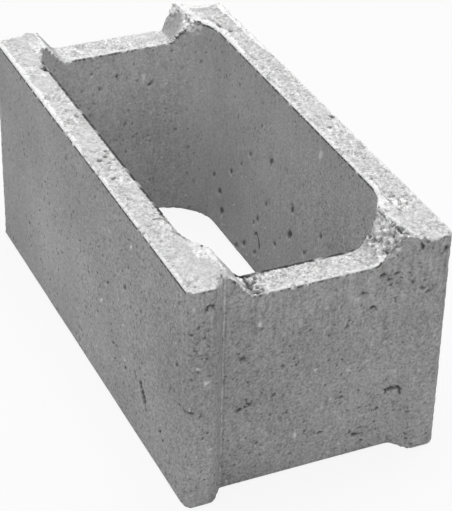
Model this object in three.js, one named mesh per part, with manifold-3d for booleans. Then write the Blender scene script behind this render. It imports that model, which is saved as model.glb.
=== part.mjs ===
// Concrete shuttering block: two long walls tied by a web near each end, with one cavity that is
// open right through. Each web top is cut down into a sloped notch, so reinforcing bars and poured
// concrete run on from block to block. The near end is recessed between the walls' flanges, and the
// far end stands proud as a tongue that enters the next block's recess.
// Units are millimetres, +Z is up, and the origin is the middle of the foot.
import * as THREE from 'three';
import { mergeVertices } from 'three/addons/utils/BufferGeometryUtils.js';
import Module from 'manifold-3d';

// Laid size: the length runs from flange to flange, without the tongue
const LENGTH = 500;
const WIDTH = 250;
const HEIGHT = 230;

// Walls and webs: the mould's core tapers, so they are thicker at the foot
const WALL_TOP = 30;
const WALL_FOOT = 34;
const WEB_TOP = 33;
const WEB_FOOT = 35;
const CAVITY_RADIUS = 50;

// Recess in the near end, between the two flanges
const RECESS_DEPTH = 16;
const RECESS_SLOPE = 12; // width of each slanting side of the recess
const FLANGE_WIDTH = 28; // flat end of each wall, beside the recess

// Tongue on the far end: the recess's own shape, drawn back by the play
const TONGUE_PLAY = 2;
const TONGUE_LENGTH = RECESS_DEPTH - TONGUE_PLAY;
const TONGUE_SLOPE = (RECESS_SLOPE * TONGUE_LENGTH) / RECESS_DEPTH;
const JOINT_RADIUS = 4; // rounding of the recess's and the tongue's corners

// Notch across the top of each web
const NOTCH_DEPTH = 28;
const NOTCH_FLOOR = 118; // width of the level part
const NOTCH_SLOPE = 22; // width of each slanting side
const NOTCH_RADIUS = 8;

// Outer edges
const CORNER_RADIUS = 5;
const ARRIS = 2.5; // rounding along the top and foot edges

// How finely the round stretches are cut
const ARC_STEPS = 3; // half the facets of each round corner
const ARRIS_STEPS = 1;
const OVERRUN = 5; // how far the cutter reaches past what it cuts

const CONCRETE_COLOR = 0x9c9c9a;

/** Adds a corner to a path: straight to the arc of the given radius, then round it. */
function roundCorner(path, before, corner, after, radius) {
  const arriving = before.clone().sub(corner).normalize();
  const leaving = after.clone().sub(corner).normalize();
  const halfAngle = Math.acos(arriving.dot(leaving)) / 2;
  const setback = radius / Math.tan(halfAngle);
  const bisector = arriving.clone().add(leaving).normalize();
  const center = corner.clone().addScaledVector(bisector, radius / Math.sin(halfAngle));
  const start = corner.clone().addScaledVector(arriving, setback);
  const end = corner.clone().addScaledVector(leaving, setback);
  const clockwise = arriving.cross(leaving) > 0;
  const startAngle = Math.atan2(start.y - center.y, start.x - center.x);
  const endAngle = Math.atan2(end.y - center.y, end.x - center.x);
  path.absarc(center.x, center.y, radius, startAngle, endAngle, clockwise);
}

/** Draws a closed path through [x, y, radius] corners. The first is round; a radius of 0 is sharp. */
function roundedPath(path, corners) {
  const points = corners.map(([x, y]) => new THREE.Vector2(x, y));
  const count = corners.length;
  corners.forEach(([x, y, radius], i) => {
    if (radius > 0) {
      const before = points[(i + count - 1) % count];
      const after = points[(i + 1) % count];
      roundCorner(path, before, points[i], after, radius);
    } else {
      path.lineTo(x, y);
    }
  });
  path.closePath();
  return path;
}

/** Plan of the block's outside: a rectangle with a recess in the near end and a tongue on the far. */
function outerPlan() {
  const endX = LENGTH / 2;
  const sideY = WIDTH / 2;
  const recessX = endX - RECESS_DEPTH;
  const lipY = sideY - FLANGE_WIDTH;
  const floorY = lipY - RECESS_SLOPE;
  const tongueX = endX + TONGUE_LENGTH;
  const rootY = lipY - TONGUE_PLAY;
  const tipY = rootY - TONGUE_SLOPE;
  return roundedPath(new THREE.Shape(), [
    [endX, -sideY, CORNER_RADIUS],
    [endX, -lipY, JOINT_RADIUS],
    [recessX, -floorY, JOINT_RADIUS],
    [recessX, floorY, JOINT_RADIUS],
    [endX, lipY, JOINT_RADIUS],
    [endX, sideY, CORNER_RADIUS],
    [-endX, sideY, CORNER_RADIUS],
    [-endX, rootY, JOINT_RADIUS],
    [-tongueX, tipY, JOINT_RADIUS],
    [-tongueX, -tipY, JOINT_RADIUS],
    [-endX, -rootY, JOINT_RADIUS],
    [-endX, -sideY, CORNER_RADIUS],
  ]);
}

// The cavity runs between the two webs, so it lies off the block's middle, towards the tongue
const CAVITY_NEAR = LENGTH / 2 - RECESS_DEPTH - WEB_FOOT;
const CAVITY_FAR = -LENGTH / 2 - TONGUE_LENGTH + WEB_FOOT;
const CAVITY_SIDE = WIDTH / 2 - WALL_FOOT;

/** Plan of the cavity at the foot, as a hole. */
function cavityPlan() {
  return roundedPath(new THREE.Path(), [
    [CAVITY_FAR, -CAVITY_SIDE, CAVITY_RADIUS],
    [CAVITY_FAR, CAVITY_SIDE, CAVITY_RADIUS],
    [CAVITY_NEAR, CAVITY_SIDE, CAVITY_RADIUS],
    [CAVITY_NEAR, -CAVITY_SIDE, CAVITY_RADIUS],
  ]);
}

/** Opens the cavity towards the top, as the tapered core does. The outer faces stay upright. */
function applyDraft(geometry) {
  const middleX = (CAVITY_NEAR + CAVITY_FAR) / 2;
  const reachX = (CAVITY_NEAR - CAVITY_FAR + WEB_FOOT) / 2;
  const reachY = CAVITY_SIDE + WALL_FOOT / 2;
  const position = geometry.attributes.position;
  const vertex = new THREE.Vector3();
  for (let i = 0; i < position.count; i += 1) {
    vertex.fromBufferAttribute(position, i);
    const fromMiddle = vertex.x - middleX;
    const inCavity = Math.abs(fromMiddle) < reachX && Math.abs(vertex.y) < reachY;
    if (inCavity) {
      const rise = THREE.MathUtils.clamp((vertex.z - ARRIS) / (HEIGHT - ARRIS), 0, 1);
      vertex.x += Math.sign(fromMiddle) * (WEB_FOOT - WEB_TOP) * rise;
      vertex.y += Math.sign(vertex.y) * (WALL_FOOT - WALL_TOP) * rise;
      position.setXYZ(i, vertex.x, vertex.y, vertex.z);
    }
  }
  return geometry;
}

/** The cast body: walls and webs with the cavity's draft and the arrises, notches still to be cut. */
function bodyGeometry() {
  const plan = outerPlan();
  plan.holes.push(cavityPlan());
  const body = new THREE.ExtrudeGeometry(plan, {
    depth: HEIGHT - 2 * ARRIS,
    curveSegments: ARC_STEPS,
    bevelThickness: ARRIS,
    bevelSize: ARRIS,
    bevelOffset: -ARRIS,
    bevelSegments: ARRIS_STEPS,
  });
  body.translate(0, 0, ARRIS);
  return applyDraft(body);
}

/** The notch cutter: one trapezoid with rounded lower corners, run through both webs. */
function notchGeometry() {
  const halfFloor = NOTCH_FLOOR / 2;
  const steepness = NOTCH_SLOPE / NOTCH_DEPTH;
  const floorZ = HEIGHT - NOTCH_DEPTH;
  const rimZ = HEIGHT + OVERRUN;
  const halfRim = halfFloor + (rimZ - floorZ) * steepness;
  const section = roundedPath(new THREE.Shape(), [
    [-halfFloor, floorZ, NOTCH_RADIUS],
    [halfFloor, floorZ, NOTCH_RADIUS],
    [halfRim, rimZ, 0],
    [-halfRim, rimZ, 0],
  ]);
  const length = LENGTH + 2 * (TONGUE_LENGTH + OVERRUN);
  const cutter = new THREE.ExtrudeGeometry(section, {
    depth: length,
    curveSegments: ARC_STEPS,
    bevelEnabled: false,
  });
  // The section was drawn with y across and z up: stand it up, then lay its run along x.
  cutter.rotateX(Math.PI / 2);
  cutter.rotateZ(Math.PI / 2);
  cutter.translate(-length / 2, 0, 0);
  return cutter;
}

const wasm = await Module();
wasm.setup();

/** Turns a closed geometry into a solid that can be cut. */
function toSolid(geometry) {
  geometry.deleteAttribute('normal');
  geometry.deleteAttribute('uv');
  const merged = mergeVertices(geometry);
  return new wasm.Manifold(new wasm.Mesh({
    numProp: 3,
    vertProperties: new Float32Array(merged.attributes.position.array),
    triVerts: new Uint32Array(merged.index.array),
  }));
}

/** Turns a solid back into a geometry. */
function toGeometry(solid) {
  const mesh = solid.getMesh();
  const geometry = new THREE.BufferGeometry();
  geometry.setAttribute('position', new THREE.BufferAttribute(mesh.vertProperties, 3));
  geometry.setIndex(new THREE.BufferAttribute(mesh.triVerts, 1));
  geometry.computeVertexNormals();
  return geometry;
}

const concrete = new THREE.MeshStandardMaterial({
  color: CONCRETE_COLOR,
  roughness: 0.95,
  metalness: 0,
});

const blockSolid = toSolid(bodyGeometry()).subtract(toSolid(notchGeometry()));
const block = new THREE.Mesh(toGeometry(blockSolid.translate([TONGUE_LENGTH / 2, 0, 0])), concrete);
block.name = 'shuttering_block';

const group = new THREE.Group();
group.add(block);

export default group;
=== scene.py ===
"""Concrete shuttering block: the weathered casting, its concrete, and the studio it stands in."""

import logging
import math
from dataclasses import dataclass, field
from enum import Enum
from typing import Callable, ClassVar, NamedTuple, Sequence

import bmesh
import bpy
from mathutils import Matrix, Vector, kdtree, noise
from mathutils.bvhtree import BVHTree


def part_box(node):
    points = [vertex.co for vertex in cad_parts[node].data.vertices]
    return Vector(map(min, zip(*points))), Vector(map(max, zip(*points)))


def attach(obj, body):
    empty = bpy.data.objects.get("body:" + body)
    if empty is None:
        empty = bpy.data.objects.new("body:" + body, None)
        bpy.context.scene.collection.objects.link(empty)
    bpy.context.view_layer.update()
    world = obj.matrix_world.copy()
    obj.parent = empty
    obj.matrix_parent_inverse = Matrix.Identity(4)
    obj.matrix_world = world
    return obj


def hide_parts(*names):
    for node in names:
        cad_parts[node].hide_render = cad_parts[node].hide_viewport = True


logging.basicConfig(level=logging.INFO, format="%(message)s")
LOG = logging.getLogger("shuttering_block")

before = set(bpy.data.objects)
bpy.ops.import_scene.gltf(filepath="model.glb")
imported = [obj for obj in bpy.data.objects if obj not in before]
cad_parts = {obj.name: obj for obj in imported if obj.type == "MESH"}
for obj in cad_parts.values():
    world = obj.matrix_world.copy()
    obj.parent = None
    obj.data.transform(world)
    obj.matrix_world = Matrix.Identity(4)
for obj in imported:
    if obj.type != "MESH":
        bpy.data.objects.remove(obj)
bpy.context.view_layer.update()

MM = 0.001
TINY = 0.01

Point = tuple[float, float, float]
ALONG_X: Point = (1.0, 0.0, 0.0)
ALONG_Y: Point = (0.0, 1.0, 0.0)
UPWARD: Point = (0.0, 0.0, 1.0)

# These marks carry painted light and shade as well as wear: a painted highlight along the upper
# edges, painted shade lines below them and beside the hidden edges, painted shade in the pits, cracks
# and crevices, and a painted highlight on the pits' lower lips.
POINT_MARKS = ("broken", "hollow", "grain", "drawn", "painted_hidden_edge_shade")
FACE_MARKS = ("open_face", "rim", "painted_edge_shade")


def clamp01(value: float) -> float:
    """Keeps a value between 0 and 1."""
    return max(0.0, min(1.0, value))


def ramp(value: float, none: float, full: float) -> float:
    """Goes evenly from 0 at one value to 1 at another, which may be the lower one."""
    return clamp01((value - none) / (full - none))


def fade(distance: float, full: float, none: float) -> float:
    """Falls smoothly from 1 at one distance to 0 at a larger one."""
    t = ramp(distance, none, full)
    return t * t * (3.0 - 2.0 * t)


def grit(at: Vector, coarse: float, fine: float, share: float) -> float:
    """Noise about 0 at a place: one of a coarse scale, and a share of a finer one."""
    return noise.noise(at * coarse) + share * noise.noise(at * fine)


def pushed_back(over: float, soft: float) -> float:
    """Says how far to push back what lies past a plane.

    Args:
        over: how far past the plane it lies.
        soft: the way on both sides of the plane over which the push eases in.

    Returns:
        The push.
    """
    if over <= -soft:
        return 0.0
    return over if over >= soft else (over + soft) ** 2 / (4.0 * soft)


# -- mesh helpers ---------------------------------------------------------------------------


def box_between(low: Point, high: Point) -> bmesh.types.BMesh:
    """Makes a box.

    Args:
        low: its lowest corner.
        high: its highest corner.

    Returns:
        The box.
    """
    bm = bmesh.new()
    bmesh.ops.create_cube(bm, size=1.0)
    span = Vector(high) - Vector(low)
    bmesh.ops.scale(bm, vec=span, verts=bm.verts)
    bmesh.ops.translate(bm, vec=Vector(low) + span / 2.0, verts=bm.verts)
    return bm


def round_edges(bm: bmesh.types.BMesh, test: Callable, offset: float, segments: int) -> None:
    """Rounds the edges that a test picks.

    Args:
        bm: the mesh to change.
        test: takes an edge and says whether to round it.
        offset: how far the rounding reaches from the edge.
        segments: how many facets the rounding gets.
    """
    edges = [e for e in bm.edges if test(e)]
    bmesh.ops.bevel(bm, geom=edges, offset=offset, offset_type="OFFSET", segments=segments,
                    profile=0.5, affect="EDGES", material=-1)


def upright(edge: bmesh.types.BMEdge) -> bool:
    """Says whether an edge runs straight up."""
    a, b = edge.verts[0].co, edge.verts[1].co
    return math.hypot(a.x - b.x, a.y - b.y) < TINY and abs(a.z - b.z) > 1.0


def object_of(bm: bmesh.types.BMesh, name: str) -> bpy.types.Object:
    """Turns a bmesh into an object in the scene.

    Args:
        bm: the mesh, which is freed.
        name: the name of the object and of its mesh.

    Returns:
        The object.
    """
    mesh = bpy.data.meshes.new(name)
    bm.to_mesh(mesh)
    bm.free()
    obj = bpy.data.objects.new(name, mesh)
    bpy.context.scene.collection.objects.link(obj)
    return obj


def evaluated(obj: bpy.types.Object) -> bmesh.types.BMesh:
    """Reads an object's mesh with its modifiers applied.

    Args:
        obj: the object.

    Returns:
        A new bmesh.
    """
    graph = bpy.context.evaluated_depsgraph_get()
    bm = bmesh.new()
    bm.from_mesh(obj.evaluated_get(graph).to_mesh())
    return bm


def in_order(bm: bmesh.types.BMesh) -> bmesh.types.BMesh:
    """Builds a mesh again with its points and faces in the order of their places.

    The boolean solver gives them in an order that changes from run to run, and that order
    decides which of two equally near faces or edges is found.

    Args:
        bm: the mesh, which is freed.

    Returns:
        The mesh in its fixed order.
    """
    points = sorted(bm.verts, key=lambda v: v.co[:])
    place = {v: i for i, v in enumerate(points)}
    loops = [[place[v] for v in face.verts] for face in bm.faces]
    firsts = [loop.index(min(loop)) for loop in loops]
    turned = sorted(loop[first:] + loop[:first] for loop, first in zip(loops, firsts))
    ordered = bmesh.new()
    verts = [ordered.verts.new(v.co) for v in points]
    for loop in turned:
        ordered.faces.new([verts[i] for i in loop])
    ordered.normal_update()
    ordered.verts.index_update()
    bm.free()
    return ordered


# -- the form -------------------------------------------------------------------------------


@dataclass(frozen=True)
class Form:
    """The casting's sharp form, in millimetres. The near end, with the recess, is at +x."""

    length: float = 500.0
    width: float = 250.0
    height: float = 230.0
    wall_top: float = 30.0
    wall_foot: float = 34.0
    web_top: float = 33.0
    web_foot: float = 35.0
    cavity_radius: float = 50.0
    recess_depth: float = 16.0
    recess_slope: float = 12.0
    flange: float = 28.0
    tongue_play: float = 2.0
    notch_depth: float = 28.0
    notch_floor: float = 118.0
    notch_slope: float = 22.0
    notch_radius: float = 8.0
    corner_radius: float = 5.0
    joint_radius: float = 3.0
    tool_overrun: float = 12.0
    press_overrun: float = 60.0
    flat_angle: float = 0.01

    @property
    def side(self) -> float:
        """Distance of the long sides from the middle."""
        return self.width / 2.0

    @property
    def tongue(self) -> float:
        """How far the tongue stands proud of the far flanges."""
        return self.recess_depth - self.tongue_play

    @property
    def near_end(self) -> float:
        """Where the near flanges end along x."""
        return (self.length + self.tongue) / 2.0

    @property
    def far_end(self) -> float:
        """Where the far flanges end along x."""
        return self.near_end - self.length

    @property
    def near_web(self) -> float:
        """Where the near web's outer face lies along x."""
        return self.near_end - self.recess_depth

    @property
    def far_inside(self) -> float:
        """Where the far web's inner face meets the floor."""
        return self.far_end - self.tongue + self.web_foot

    @property
    def notch_z(self) -> float:
        """Height of the notches' level floor."""
        return self.height - self.notch_depth

    def outside(self) -> bmesh.types.BMesh:
        """Shapes the outside: a box with the recess pressed into its near end and the tongue
        drawn out of its far one, and with the upright corners rounded.

        Returns:
            The mesh.
        """
        bm = box_between((self.far_end, -self.side, 0.0), (self.near_end, self.side, self.height))
        lip = self.side - self.flange
        root = lip - self.tongue_play
        tongue_slope = self.recess_slope * self.tongue / self.recess_depth
        for y in (lip, lip - self.recess_slope, root, root - tongue_slope):
            for sign in (-1.0, 1.0):
                everything = bm.verts[:] + bm.edges[:] + bm.faces[:]
                bmesh.ops.bisect_plane(bm, geom=everything, plane_co=(0.0, sign * y, 0.0),
                                       plane_no=ALONG_Y)
        for v in bm.verts:
            if v.co.x > 0.0:
                v.co.x -= self.recess_depth * clamp01((lip - abs(v.co.y)) / self.recess_slope)
            else:
                v.co.x -= self.tongue * clamp01((root - abs(v.co.y)) / tongue_slope)
        bmesh.ops.dissolve_limit(bm, angle_limit=self.flat_angle, verts=bm.verts, edges=bm.edges)

        def at_corner(e: bmesh.types.BMEdge) -> bool:
            """Picks the four outer corners."""
            return upright(e) and abs(abs(e.verts[0].co.y) - self.side) < TINY

        def at_joint(e: bmesh.types.BMEdge) -> bool:
            """Picks the corners of the recess and of the tongue."""
            return upright(e) and abs(e.verts[0].co.y) < lip + self.corner_radius

        round_edges(bm, at_corner, self.corner_radius, 3)
        round_edges(bm, at_joint, self.joint_radius / 2.0, 2)
        bmesh.ops.recalc_face_normals(bm, faces=bm.faces)
        return bm

    def core(self) -> bmesh.types.BMesh:
        """Shapes the tapered core that leaves the cavity, with its upright corners rounded.

        Returns:
            The mesh.
        """
        near = self.near_web - self.web_foot
        side = self.side - self.wall_foot
        over = self.tool_overrun
        bm = box_between((self.far_inside, -side, -over), (near, side, self.height + over))
        round_edges(bm, upright, self.cavity_radius, 12)
        middle = (near + self.far_inside) / 2.0
        for v in bm.verts:
            rise = v.co.z / self.height
            v.co.x += math.copysign(self.web_foot - self.web_top, v.co.x - middle) * rise
            v.co.y += math.copysign(self.wall_foot - self.wall_top, v.co.y) * rise
        bmesh.ops.recalc_face_normals(bm, faces=bm.faces)
        return bm

    def press_head(self) -> bmesh.types.BMesh:
        """Shapes the long trapezoid that leaves both notches, with its lower edges rounded.

        Returns:
            The mesh.
        """
        half = self.notch_floor / 2.0
        reach = self.length / 2.0 + self.press_overrun
        bm = box_between((-reach, -half, self.notch_z),
                         (reach, half, self.height + self.tool_overrun))

        def low_edge(e: bmesh.types.BMEdge) -> bool:
            """Picks the two long lower edges."""
            level = all(abs(v.co.z - self.notch_z) < TINY for v in e.verts)
            return level and abs(e.verts[0].co.y - e.verts[1].co.y) < TINY

        rise = self.notch_depth + self.tool_overrun
        for v in bm.verts:
            if v.co.z > self.height:
                v.co.y += math.copysign(self.notch_slope * rise / self.notch_depth, v.co.y)
        round_edges(bm, low_edge, self.notch_radius / 2.0, 3)
        bmesh.ops.recalc_face_normals(bm, faces=bm.faces)
        return bm

    def solids(self, voxel: float) -> tuple[bmesh.types.BMesh, bmesh.types.BMesh]:
        """Cuts the core and the notches out of the outside, and remeshes the result evenly.

        Args:
            voxel: the spacing of the even mesh.

        Returns:
            The sharp solid, and the even mesh that the wear goes into.
        """
        body = object_of(self.outside(), "body_form")
        tools = [object_of(self.core(), "core_form"), object_of(self.press_head(), "press_form")]
        for tool in tools:
            cut = body.modifiers.new(tool.name, "BOOLEAN")
            cut.operation = "DIFFERENCE"
            cut.solver = "MANIFOLD"
            cut.object = tool
        sharp = in_order(evaluated(body))
        solid = object_of(sharp.copy(), "solid_form")
        remesh = solid.modifiers.new("even", "REMESH")
        remesh.mode = "VOXEL"
        remesh.voxel_size = voxel
        even = evaluated(solid)
        for obj in (solid, body, *tools):
            mesh = obj.data
            bpy.data.objects.remove(obj)
            bpy.data.meshes.remove(mesh)
        return sharp, even


# -- kinds of damage ------------------------------------------------------------------------


class Felt(NamedTuple):
    """How a mark is felt at a place: the weights of its depth, of its dark tone, which is painted
    shade, and of its pale lip, a painted highlight.
    """

    weight: float
    shade: float
    lip: float = 0.0


@dataclass(frozen=True)
class Pit:
    """A small hollow left by a bubble or a lost grain, or a grain that shows. In millimetres.

    The slant is how far it rises along z for each step along x.
    """

    at: Point
    radius: float
    depth: float
    stretch: Point = (1.0, 1.0, 1.0)
    bright: bool = False
    shade: float = 1.0
    slant: float = 0.0
    ragged: ClassVar[float] = 0.45
    # The strength of the painted highlight on the lower lip of a pit on a wall.
    lip: ClassVar[float] = 0.35

    @property
    def reach(self) -> float:
        """How far it spreads."""
        return self.radius * max(self.stretch)

    def samples(self) -> list[Vector]:
        """The place to find it by."""
        return [Vector(self.at)]

    def felt(self, p: Vector, q: Vector, upright_share: float) -> Felt:
        """Says how the pit is felt at a place.

        Args:
            p: the place on the surface.
            q: the same place in the noise.
            upright_share: 1 on a wall and 0 on a level face.

        Returns:
            The weights.
        """
        away = p - Vector(self.at)
        away.z -= self.slant * away.x
        d = Vector(away[i] / self.stretch[i] for i in range(3)).length
        d *= 1.0 + self.ragged * grit(q, 0.55, 1.1, 1.0)
        weight = fade(d, self.radius * 0.6, self.radius * 1.35)
        # On a wall the light from above is painted in: less painted shade in the pit's lower half,
        # and a painted highlight on its lower lip.
        below = upright_share * (self.at[2] - p.z) / (self.radius * self.stretch[2])
        lit = self.lip * clamp01(1.4 * below) * fade(d, self.radius, self.radius * 1.8)
        return Felt(weight, weight * clamp01(1.0 - 0.4 * below) * self.shade, lit)


@dataclass(frozen=True)
class Crack:
    """A thin open crack, dark with painted shade, or a pale ridge, along a line of points, in
    millimetres.
    """

    points: tuple[Point, ...]
    width: float
    depth: float
    shade: float = 1.0
    bright: bool = False

    @property
    def reach(self) -> float:
        """How far it spreads."""
        return self.width

    def samples(self) -> list[Vector]:
        """Finds places along the line, about a millimetre apart.

        Returns:
            The places.
        """
        places = []
        for a, b in zip(self.points, self.points[1:]):
            steps = max(2, int((Vector(b) - Vector(a)).length))
            places += [Vector(a).lerp(Vector(b), i / steps) for i in range(steps + 1)]
        return places

    @staticmethod
    def _off_line(p: Vector, a: Point, b: Point) -> float:
        """Measures how far a place is from a straight stretch of the line.

        Args:
            p: the place.
            a: where the stretch starts.
            b: where it ends.

        Returns:
            The distance.
        """
        start = Vector(a)
        along = Vector(b) - start
        t = clamp01((p - start).dot(along) / along.length_squared)
        return (p - start - along * t).length

    def felt(self, p: Vector, q: Vector, _: float) -> Felt:
        """Says how the crack is felt at a place. It is the same on walls and on level faces.

        Args:
            p: the place on the surface.
            q: the same place in the noise.

        Returns:
            The weights.
        """
        ragged = 0.9 if self.bright else 0.45
        d = min(self._off_line(p, a, b) for a, b in zip(self.points, self.points[1:]))
        d += ragged * self.width * noise.noise(q * 0.7)
        weight = fade(d, 0.15 * self.width, 1.1 * self.width)
        return Felt(weight, weight * self.shade)


@dataclass(frozen=True)
class Chip:
    """A broken edge: what stands out past a plane is gone, within a reach. In millimetres."""

    at: Point
    outward: Point
    reach: float
    rough: float = 0.6
    broken: float = 0.6
    soft: ClassVar[float] = 0.5
    full_tone: ClassVar[float] = 1.2

    def cut(self, p: Vector, q: Vector) -> tuple[Vector, float]:
        """Says how far the chip pushes a place back, and how broken it shows.

        Args:
            p: the place as the wear has left it.
            q: the same place in the noise.

        Returns:
            The move in millimetres, and the weight of the broken tone.
        """
        away = (p - Vector(self.at)).length
        if away >= self.reach:
            return Vector(), 0.0
        out = Vector(self.outward).normalized()
        over = (p - Vector(self.at)).dot(out) + self.rough * grit(q, 0.3, 0.75, 0.5)
        past = pushed_back(over, self.soft)
        past *= fade(away, self.reach * 0.7, self.reach)
        return out * -past, self.broken * clamp01(past / self.full_tone)


@dataclass(frozen=True)
class Crumble:
    """A place where the concrete has come away in grains, in millimetres."""

    at: Point
    radius: Point
    lumps: float
    broken: float = 1.0
    scale: float = 0.19
    spread: ClassVar[float] = 1.35
    crevice: ClassVar[float] = 0.22

    def off_middle(self, p: Vector) -> float:
        """Distance from the zone's middle, where 1 is its border."""
        return Vector((p[i] - self.at[i]) / self.radius[i] for i in range(3)).length

    def loss(self, p: Vector, q: Vector) -> tuple[float, float, float]:
        """Says how much has come away at a place, and how it shows.

        Args:
            p: the place on the surface.
            q: the same place in the noise.

        Returns:
            The depth in millimetres, the weight of the broken tone, and the weight of the painted
            shade in the crevices.
        """
        d = self.off_middle(p)
        if d >= self.spread:
            return 0.0, 0.0, 0.0
        weight = fade(d + 0.35 * noise.noise(q * 0.2), 0.45, 1.05)
        (near, far, *_), _ = noise.voronoi(q * self.scale)
        lump = min(1.3, (near * 1.35) ** 2)
        swell = 1.4 * abs(noise.noise(q * 0.13))
        depth = weight * self.lumps * (0.1 + 0.75 * lump + swell)
        gap = ramp(far - near, self.crevice, 0.0)
        return depth, weight * self.broken, weight * self.broken * gap


Mark = Pit | Crack


FACING = 0.3
LEFT_WALL_Y = -84.0
NEAR_WEB_X = 190.0


class Rim(NamedTuple):
    """The nearest place on an edge of the form, the way out of the edge, and how far off it is."""

    at: Vector
    outward: Vector
    distance: float

    @property
    def upper(self) -> bool:
        """Whether the edge faces upwards."""
        return self.outward.z > FACING

    @property
    def on_web(self) -> bool:
        """Whether the edge faces the far end, as the near web's inner one does."""
        return self.outward.x < -FACING

    @property
    def on_left_wall(self) -> bool:
        """Whether the edge lies on the left wall."""
        return self.at.y < LEFT_WALL_Y

    @property
    def hidden(self) -> bool:
        """Whether it is the near web's or the left wall's upper edge on the cavity's side."""
        wall = self.outward.y > FACING and self.on_left_wall
        return self.upper and (wall or (self.on_web and self.at.x > NEAR_WEB_X))


@dataclass(frozen=True)
class Bite:
    """How deep an edge is bitten, in millimetres: evenly, and by small and large bites."""

    even: float
    small: float
    large: float = 0.0
    least: float = -0.35

    def depth(self, at: Vector) -> float:
        """Gives the depth at a place along the edge.

        Args:
            at: the place in the noise.

        Returns:
            The depth, in millimetres.
        """
        small = max(self.least, grit(at, 0.23, 0.5, 0.7))
        large = max(0.0, noise.noise(at * 0.061 + Vector((0.0, 40.0, 0.0))) - 0.30)
        return self.even + self.small * small + self.large * large


class EdgeKind(Enum):
    """The kinds of edge, each with its bite."""

    FOOT = Bite(0.5, 0.6)
    UPRIGHT = Bite(0.9, 0.6)
    TOP = Bite(0.9, 1.9, 3.2)
    LOOSE_TOP = Bite(0.9, 2.7, 3.2)
    HIDDEN = Bite(0.7, 0.9, least=-0.30)
    LOOSE_HIDDEN = Bite(0.7, 2.4, least=-0.30)

    @classmethod
    def of(cls, rim: Rim) -> "EdgeKind":
        """Tells an edge's kind by where it lies and which way it faces.

        Args:
            rim: the place on the edge.

        Returns:
            The kind.
        """
        x, y, z = rim.at
        if rim.hidden:
            by_near_corner = 130.0 < x < 205.0
            return cls.LOOSE_HIDDEN if by_near_corner else cls.HIDDEN
        if rim.upper:
            near_notch = x > 235.0 and abs(y) < 62.0
            far_left = x < -220.0 and y < -52.0
            outer_right = y > 110.0
            return cls.LOOSE_TOP if near_notch or far_left or outer_right else cls.TOP
        return cls.FOOT if z < 4.0 else cls.UPRIGHT


class Seeker:
    """Finds which of many samples lies nearest to a place, and what it belongs to."""

    def __init__(self, samples: Sequence[tuple[Vector, Vector | Mark]]) -> None:
        """Sorts the samples into a tree.

        Args:
            samples: places, each with what it belongs to.
        """
        self.owners = [owner for _, owner in samples]
        self.tree = kdtree.KDTree(max(1, len(samples)))
        for i, (point, _) in enumerate(samples):
            self.tree.insert(point, i)
        self.tree.balance()

    def nearest(self, p: Vector) -> tuple[Vector, Vector | Mark, float]:
        """Gives the nearest sample, its owner and the distance."""
        point, index, distance = self.tree.find(p)
        return point, self.owners[index], distance

    def within(self, p: Vector, reach: float) -> list[Mark]:
        """Gives the owners of all samples within a reach, each once."""
        found = self.tree.find_range(p, reach)
        return list(dict.fromkeys(self.owners[index] for _, index, _ in found))


# -- the casting ----------------------------------------------------------------------------


@dataclass(frozen=True)
class Spacing:
    """Lengths of the mesh's edges, and how far around each feature the finer ones go.

    All are in millimetres, but for the reach around a crumbled zone, where 1 is its border.
    """

    coarse: float = 4.0
    fine: float = 2.1
    finer: float = 1.35
    finest: float = 0.9
    below_notch: float = 12.0
    below_top: float = 3.0
    web_half_width: float = 95.0
    at_upper_edge: float = 2.2
    at_hidden_edge: float = 7.0
    by_upper_edge: float = 5.0
    by_edge: float = 3.0
    by_crease: float = 3.0
    by_mark: float = 1.5
    by_chip: float = 22.0
    by_crumble: float = 1.1
    shortest: float = 1.3
    slack: float = 1.45
    passes: int = 3


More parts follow.
